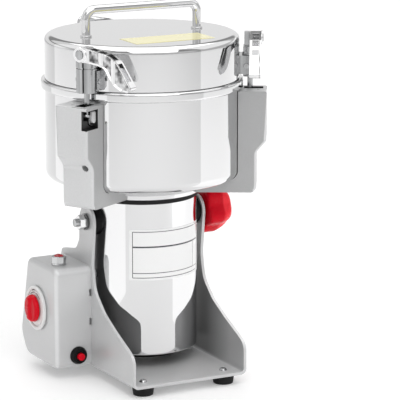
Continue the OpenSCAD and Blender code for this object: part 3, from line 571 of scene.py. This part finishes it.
# ------------------------------------------------------------------ lid handle
def handle():
    r, zb = 4.25, 366.5 - 4.25
    path = [Vector((-60, 0, lid_top)), Vector((-60, 0, lid_top + 0.4)), Vector((-60, 0, zb - 9.4))]
    path += [Vector((-51 + 9 * math.cos(math.radians(a)), 0, zb - 9 + 9 * math.sin(math.radians(a)))) for a in range(180, 89, -6)]
    path += [Vector((-50.6, 0, zb)), Vector((-17, 0, zb))]
    path += [Vector((-p.x, 0, p.z)) for p in reversed(path)]
    bm = bmesh.new()
    rings = []
    for i, p in enumerate(path):
        t = (path[min(i + 1, len(path) - 1)] - path[max(i - 1, 0)]).normalized()
        side = Vector((0, 1, 0))
        nrm = side.cross(t)
        rings.append([bm.verts.new(at(*(p + side * (r * math.cos(2 * math.pi * k / 40)) + nrm * (r * math.sin(2 * math.pi * k / 40))))) for k in range(40)])
    join_rings(bm, rings, False)
    bm.faces.new(rings[0])
    bm.faces.new(rings[-1])
    for s in (-60, 60):
        lathe([(0, 0)] + [(r + 1.4, 0), (r + 1.4, 0.9)] + arc(r + 0.8, 1.0, 0.6, 0, 90, 5) + [(0, 1.6)], 48, False, lambda u, v, w, s=s: at(s + u, v, lid_top + w), bm)
    finish_mesh("lid_handle_bent", bm, M["polished_steel"], BODY["lid_handle"], ("lid_handle",))


handle()

# ------------------------------------------------------------------ stand, box and yoke
refine("stand", 0.55)


def box_rim(e):
    xs = [(v.co.x - AXIS.x) / MM for v in e.verts]
    return max(xs) < -99.9 and any(abs(f.normal.x) < 0.3 for f in e.link_faces) \
        and all(math.hypot((v.co.y - AXIS.y) / MM - 32.5, v.co.z / MM - 65.5) > 8 for v in e.verts)


refine("control_box", 0.5, first=(box_rim, 5.0, 6))


def arm_rt(p):
    """Radius and sideways offset of a point in the frame of its own arm, in millimetres."""
    x, y = (p.x - AXIS.x) / MM, (p.y - AXIS.y) / MM
    best = max((210, 330, 90), key=lambda a: x * math.cos(math.radians(a)) + y * math.sin(math.radians(a)))
    c, s = math.cos(math.radians(best)), math.sin(math.radians(best))
    return x * c + y * s, -x * s + y * c, Vector((c, s, 0)), Vector((-s, c, 0))


def arm_edge(e):
    mid = (e.verts[0].co + e.verts[1].co) / 2
    r, t, rad, tan = arm_rt(mid)
    if r < 104 or abs(abs(t) - 17.5) > 0.05 or not 183.0 < mid.z / MM < 279.0:
        return False
    ns = [f.normal for f in e.link_faces]
    return any(abs(n.dot(tan)) > 0.95 for n in ns) and any(n.dot(rad) > 0.4 for n in ns)


refine("yoke", 0.7, first=(arm_edge, 3.0, 5))

# ------------------------------------------------------------------ clamp knob
def clamp_knob():
    n = 120
    px, pz = 61.5, 154.7
    rows = [(3.2, 19.6, 2.2), (3.5, 20.9, 2.5), (4.3, 21.7, 2.6), (5.5, 22.0, 2.6), (9.0, 22.0, 2.6), (13.0, 22.0, 2.6), (15.6, 22.0, 2.6), (17.2, 21.8, 2.55),
            (18.4, 21.5, 2.45), (20.5, 20.9, 2.3), (23.0, 20.0, 2.0), (25.5, 18.9, 1.6), (27.6, 17.5, 1.2), (29.2, 16.0, 0.8), (30.4, 14.2, 0.5),
            (31.2, 12.2, 0.2), (31.8, 9.6, 0.0), (32.0, 6.5, 0.0)]
    bm = bmesh.new()

    def ring(x, r, d):
        return [bm.verts.new(at(px + x, (r + d * math.cos(5 * a)) * math.cos(a + math.radians(54)), pz + (r + d * math.cos(5 * a)) * math.sin(a + math.radians(54))))
                for a in (2 * math.pi * k / n for k in range(n))]

    rings = [[bm.verts.new(at(px + 0.4, 0, pz))], ring(0.4, 9.2, 0.0), ring(0.7, 9.5, 0.0), ring(3.2, 9.5, 0.0)] + [ring(*row) for row in rows]
    rings += [[bm.verts.new(at(px + 32.0, 0, pz))]]
    join_rings(bm, rings, False)
    finish_mesh("clamp_knob_moulded", bm, M["red_plastic"], BODY["clamp_knob"], ("clamp_knob",), 50.0)


clamp_knob()

# ------------------------------------------------------------------ dial, timer knob, lamp and reset button
def on_dial(u, v, w):
    return at(-100.0 - w, 32.5 + u, 65.5 + v)


turned("timer_dial", [(5, 0), (20.3, 0), (20.3, 0.95), (22, 0.95), (22, 2.0)] + arc(20.9, 2.4, 1.1, 0, 90, 6) + arc(19.5, 2.4, 1.1, 90, 175, 6) + [(18.3, 1.7), (17.5, 1.7)] + arc(16.9, 2.2, 0.6, 0, 90, 4) + [(5, 2.8)], 128, on_dial)


def dial_arcs():
    bm = bmesh.new()
    for r, a0, a1 in ((15.6, 48, 88), (15.6, 96, 136), (17.9, 60, 150)):
        z0, z1 = (1.6, 1.78) if r > 17 else (2.7, 2.9)
        m = 24
        rows = []
        for i in range(m + 1):
            a = math.radians(a0 + (a1 - a0) * i / m)
            rows.append([bm.verts.new(on_dial(q * math.cos(a), q * math.sin(a), w)) for q, w in ((r - 0.35, z0), (r + 0.35, z0), (r + 0.35, z1), (r - 0.35, z1))])
        join_rings(bm, rows, False)
        bm.faces.new(rows[0])
        bm.faces.new(rows[-1])
    finish_mesh("dial_arcs", bm, M["black_plastic"], BODY["timer_dial"])


dial_arcs()


def timer_knob():
    n = 96
    rows = [(13.1, 0.0, 0), (13.5, 0.5, 0), (13.35, 2.4, 0), (13.2, 3.4, 0), (12.9, 4.2, 0), (12.4, 4.65, 0.05), (11.8, 4.85, 0.3), (11.0, 4.95, 0.62), (10.0, 5.0, 0.86),
            (9.0, 5.0, 0.96), (7.5, 5.0, 1.0), (6.0, 5.0, 1.0), (4.5, 5.0, 1.0), (3.0, 5.0, 1.0), (1.5, 5.0, 1.0)]
    bm = bmesh.new()

    def ridge(u):
        t = min(1.0, max(0.0, (abs(u) - 1.6) / 4.2))
        return 0.5 + 0.5 * math.cos(math.pi * t)

    def ring(r, w, k):
        return [bm.verts.new(on_dial(r * math.cos(a), r * math.sin(a), 3.9 + w + 2.45 * k * ridge(r * math.cos(a)))) for a in (2 * math.pi * i / n for i in range(n))]

    rings = [[bm.verts.new(on_dial(0, 0, 3.9))]] + [ring(*row) for row in rows] + [[bm.verts.new(on_dial(0, 0, 3.9 + 7.45))]]
    join_rings(bm, rings, False)
    finish_mesh("timer_knob_moulded", bm, M["red_plastic"], BODY["timer_knob"], ("timer_knob",), 60.0)


timer_knob()


def on_lamp(u, v, w):
    return at(-86.0 + u, 12.0 + v, 112.0 + w)


bezel = lathe([(4.8, -6), (5, -6), (5, 0), (7.2, 0), (7.4, 0.2), (7.4, 1.0), (7.0, 1.4), (7.0, 1.9), (7.3, 2.3), (7.3, 7.9)] + arc(6.5, 8.1, 0.8, 0, 90, 6) + [(5.6, 8.9), (5.0, 8.2), (4.8, 8.2)], 64, True, on_lamp)
finish_mesh("lamp_bezel_turned", bezel, M["chrome"], BODY["lamp_bezel"], ("lamp_bezel",), 35.0)
turned("lamp_lens", [(0, -6), (4.8, -6), (4.8, 8.4)] + [(4.8 * math.cos(math.radians(a)), 8.4 + 2.2 * math.sin(math.radians(a))) for a in range(8, 90, 8)] + [(0, 10.6)],
       64, on_lamp, closed=False)


def on_reset(u, v, w):
    return at(-76.0 + u, -9.5 - w, 24.0 + v)


turned("reset_button", [(0, -14), (3.8, -14), (3.8, 2.0), (3.5, 2.3), (3.5, 7.9)] + arc(2.6, 8.1, 0.9, 0, 80, 6) + [(0, 9.0)], 48, on_reset, closed=False)

# ------------------------------------------------------------------ feet
feet = bmesh.new()
for sx in (-43.7, 43.7):
    for sy in (-86.2, 69.0):
        lathe([(0, 0), (8.4, 0)] + arc(9.0, 0.8, 0.8, -90, -6, 5) + [(11.0, 8.9), (10.6, 9.5), (0, 9.5)], 56, False, lambda u, v, w, sx=sx, sy=sy: at(sx + u, sy + v, w), feet)
finish_mesh("rubber_feet_moulded", feet, M["black_rubber"], BODY["rubber_feet"], ("rubber_feet",))

# ------------------------------------------------------------------ smaller pieces keep their shape and lose their sharp edges
for n, w in (("motor_flange", 0.35), ("motor_cap", 0.4), ("lug_rivets", 0.7), ("foot_screws", 0.25),
             ("box_screws", 0.3), ("breaker_ring_nut", 0.3), ("blade_nut", 0.4), ("lower_blade", 0.25), ("upper_blade", 0.25),
             ("inlet_socket", 0.5), ("latch_rod_left", 0.4), ("latch_rod_right", 0.4), ("latch_rod_rear", 0.4), ("latch_pin_left", 0.5), ("latch_pin_right", 0.5),
             ("latch_pin_rear", 0.5)):
    refine(n, w)

lugs = from_cad("lid_lugs")
rounded(lugs, sharp_edges(lugs), 0.45 * MM, 2)
finish_mesh("lid_lugs_finished", lugs, M["plated_steel"], BODY["lid_lugs"], ("lid_lugs",), weighted=True)


for n, w, look in (("trunnion_bosses", 0.4, "black_plastic"), ("pivot_nut", 0.4, "bright_cast"), ("pivot_bolt", 0.5, "plated_steel")):
    bm = from_cad(n)
    rounded(bm, sharp_edges(bm), w * MM, 2)
    finish_mesh(n + "_finished", bm, M[look], BODY[n], (n,), weighted=True)


# ------------------------------------------------------------------ cam levers
def cam_lever(node, az, way):
    """A lever whose outer face is hollowed between rims, with a raised disc round its pin."""
    c, s = math.cos(math.radians(az)), math.sin(math.radians(az))
    rad, tan = Vector((c, s, 0)), Vector((-s, c, 0)) * way
    pin = at(0, 0, 331.0) + Vector((-s, c, 0)) * (7.0 * MM)
    bm = from_cad(node)

    def face():
        return [f for f in bm.faces if f.normal.dot(rad) > 0.99 and abs((f.calc_center_median() - pin).dot(rad) / MM - 116.2) < 0.05]

    for d in (8.6, 21.5, 24.0, 35.0, 37.4):
        outer = face()
        cut = list({g for f in outer for g in list(f.edges) + list(f.verts)}) + outer
        bmesh.ops.bisect_plane(bm, geom=cut, dist=1e-7, plane_co=pin + tan * (d * MM), plane_no=tan)
    outer = face()
    for lo, hi in ((8.6, 21.5), (24.0, 35.0), (37.4, 60.0)):
        cell = [f for f in outer if lo < (f.calc_center_median() - pin).dot(tan) / MM < hi]
        bmesh.ops.inset_region(bm, faces=cell, thickness=1.7 * MM, depth=-1.3 * MM, use_even_offset=True, use_boundary=True)
    rounded(bm, sharp_edges(bm), 0.35 * MM, 2)
    lathe([(4.3, -0.2), (7.3, -0.2), (7.3, 0.5), (6.9, 0.9), (4.7, 0.9), (4.3, 0.6)], 56, True,
          lambda u, v, w: pin + rad * ((116.2 + w) * MM) + tan * (u * MM) + Vector((0, 0, v * MM)), bm)
    finish_mesh(node + "_finished", bm, M["bright_cast"], BODY[node], (node,), weighted=True)


def rod_end(name, az):
    """The rod's flat lower end, which shows in the window of its arm."""
    c, s = math.cos(math.radians(az)), math.sin(math.radians(az))
    rad, tan = Vector((c, s, 0)), Vector((-s, c, 0))
    mid = at(0, 0, 268.0) + rad * (105.0 * MM)
    line = [(2.8 * math.cos(math.radians(a)), 2.8 * math.sin(math.radians(a))) for a in range(180, 361, 12)] + [(2.8, 7.6), (2.1, 8.3), (-2.1, 8.3), (-2.8, 7.6)]
    bm = bmesh.new()
    rings = [[bm.verts.new(mid + rad * (u * MM * k) + Vector((0, 0, v * MM * k)) + tan * (t * MM)) for u, v in line] for t, k in ((12.6, 1.0), (14.7, 1.0), (15.0, 0.93))]
    join_rings(bm, rings, False)
    bm.faces.new(rings[0])
    bm.faces.new(rings[-1])
    finish_mesh("rod_end_" + name, bm, M["silver_paint"], "latch_" + name)


for name, az in (("left", 210), ("right", 330), ("rear", 90)):
    rod_end(name, az)

cam_lever("latch_lever_left", 210, 1)
cam_lever("latch_lever_right", 330, -1)
cam_lever("latch_lever_rear", 90, -1)

# ------------------------------------------------------------------ camera, floor and light
cam_data = bpy.data.cameras.new("camera")
cam_data.lens = 243.5
cam_data.sensor_width = 36.0
cam_data.clip_start, cam_data.clip_end = 0.05, 200.0
cam = bpy.data.objects.new("camera", cam_data)
bpy.context.scene.collection.objects.link(cam)
yaw, pitch = 0.48665, 0.21574
fwd = Vector((math.sin(yaw) * math.cos(pitch), math.cos(yaw) * math.cos(pitch), -math.sin(pitch)))
right = Vector((math.cos(yaw), -math.sin(yaw), 0.0))
up = right.cross(fwd)
rot = Matrix((right, up, -fwd)).transposed()
cam.matrix_world = Matrix.Translation(at(-1165.8, -2324.0, 739.6)) @ rot.to_4x4()
bpy.context.scene.camera = cam


def floor():
    bm = bmesh.new()
    bmesh.ops.create_grid(bm, x_segments=8, y_segments=8, size=30.0)
    me = bpy.data.meshes.new("floor")
    bm.to_mesh(me)
    bm.free()
    ob = bpy.data.objects.new("floor", me)
    ob.location.z = -0.0002
    bpy.context.scene.collection.objects.link(ob)
    # a pale acrylic table that is lit a little from below
    paint(ob, grained("floor_white", (0.93, 0.93, 0.93), 0.9, 0.0, grain=60.0, vary=0.004, bump_s=0.0, Emission_Color=(1.0, 1.0, 1.0, 1.0), Emission_Strength=0.17))


floor()


def panel(name, place, aim, size_x, size_y, power):
    d = bpy.data.lights.new(name, "AREA")
    d.shape = "RECTANGLE"
    d.size, d.size_y = size_x, size_y
    d.energy = power
    ob = bpy.data.objects.new(name, d)
    ob.location = place
    ob.rotation_mode = "QUATERNION"
    ob.rotation_quaternion = (Vector(aim) - Vector(place)).to_track_quat("-Z", "Y")
    ob.visible_camera = False
    bpy.context.scene.collection.objects.link(ob)
    return ob


def polar(az, dist, z):
    return Vector((AXIS.x + dist * math.cos(math.radians(az)), AXIS.y + dist * math.sin(math.radians(az)), z))


def radiant(size_x, size_y, level):
    """Power of a panel of that size that looks as bright as the given level."""
    return level * math.pi * size_x * size_y


def only(ob, mirror):
    """Keeps a panel to mirror reflections, or to everything but them."""
    ob.visible_glossy = mirror
    ob.visible_diffuse = not mirror
    return ob


for side, az, far, wide, shine in (("left", 170, 0.3, 0.48, 0.29), ("right", 341, 0.2, 0.312, 0.28)):
    only(panel("shine_" + side, polar(az, far, 0.379), polar(az, 0.0, 0.379), wide, 0.75, radiant(wide, 0.75, shine)), True)
for side, az in (("left", 130), ("right", 352)):
    only(panel("high_" + side, polar(az, 1.15, 1.46), AXIS + Vector((0, 0, 0.3)), 2.0, 1.5, radiant(2.0, 1.5, 0.55)), True)
only(panel("fill_right", polar(322, 0.9, 0.12), AXIS + Vector((0.08, 0.0, 0.16)), 0.6, 0.3, radiant(0.6, 0.3, 1.0)), False)
over = panel("soft_over", (AXIS.x, AXIS.y, 2.3), (0, 0, 0), 2.6, 4.2, radiant(2.6, 4.2, 1.2))
over.rotation_mode = "XYZ"
over.rotation_euler = (0.0, 0.0, -yaw)
ahead = -2.2 * Vector((math.sin(yaw), math.cos(yaw), 0.0))
only(panel("fill_rear", AXIS - 1.4 * ahead + Vector((0, 0, 2.0)), AXIS - 1.4 * ahead, 3.6, 2.4, radiant(3.6, 2.4, 1.0)), False)
panel("soft_front", polar(259, 2.2, 1.9), AXIS + Vector((0, 0, 0.2)), 2.6, 1.4, radiant(2.6, 1.4, 1.8))

world = bpy.data.worlds.new("studio")
world.use_nodes = True
wn, wl = world.node_tree.nodes, world.node_tree.links
wn["Background"].inputs["Color"].default_value = (1.0, 1.0, 1.0, 1.0)


def wmath(op, a, b):
    m = wn.new("ShaderNodeMath")
    m.operation = op
    for i, v in enumerate((a, b)):
        if isinstance(v, (int, float)):
            m.inputs[i].default_value = v
        else:
            wl.new(v, m.inputs[i])
    return m.outputs[0]


def wstep(v, lo, hi, a=0.0, b=1.0):
    m = wn.new("ShaderNodeMapRange")
    m.interpolation_type = "SMOOTHSTEP"
    for k, x in (("From Min", lo), ("From Max", hi), ("To Min", a), ("To Max", b)):
        m.inputs[k].default_value = x
    wl.new(v, m.inputs["Value"])
    return m.outputs["Result"]


# a studio that is bright low down at the back and at the front, and dim elsewhere
wtc = wn.new("ShaderNodeTexCoord")
wsep = wn.new("ShaderNodeSeparateXYZ")
wl.new(wtc.outputs["Generated"], wsep.inputs["Vector"])
back = wmath("ADD", wmath("MULTIPLY", wsep.outputs["X"], math.sin(yaw)), wmath("MULTIPLY", wsep.outputs["Y"], math.cos(yaw)))
aside = wmath("SUBTRACT", wmath("MULTIPLY", wsep.outputs["X"], math.cos(yaw)), wmath("MULTIPLY", wsep.outputs["Y"], math.sin(yaw)))
rear = wmath("MULTIPLY", wmath("MULTIPLY", wstep(back, -0.1, 0.35), wstep(aside, 0.6, 0.85, 1.0, 0.0)), wstep(wsep.outputs["Z"], 0.2, 0.27, 1.0, 0.0))
fore = wmath("MULTIPLY", wstep(back, -0.5, -0.2, 1.0, 0.0), wstep(wsep.outputs["Z"], 0.3, 0.45, 1.0, 0.0))
level = wmath("ADD", wmath("ADD", wmath("MULTIPLY", rear, 0.58), wmath("MULTIPLY", fore, 0.35)), 0.32)
wl.new(level, wn["Background"].inputs["Strength"])
bpy.context.scene.world = world
bpy.context.scene.view_settings.view_transform = "Standard"
bpy.context.scene.view_settings.look = "None"
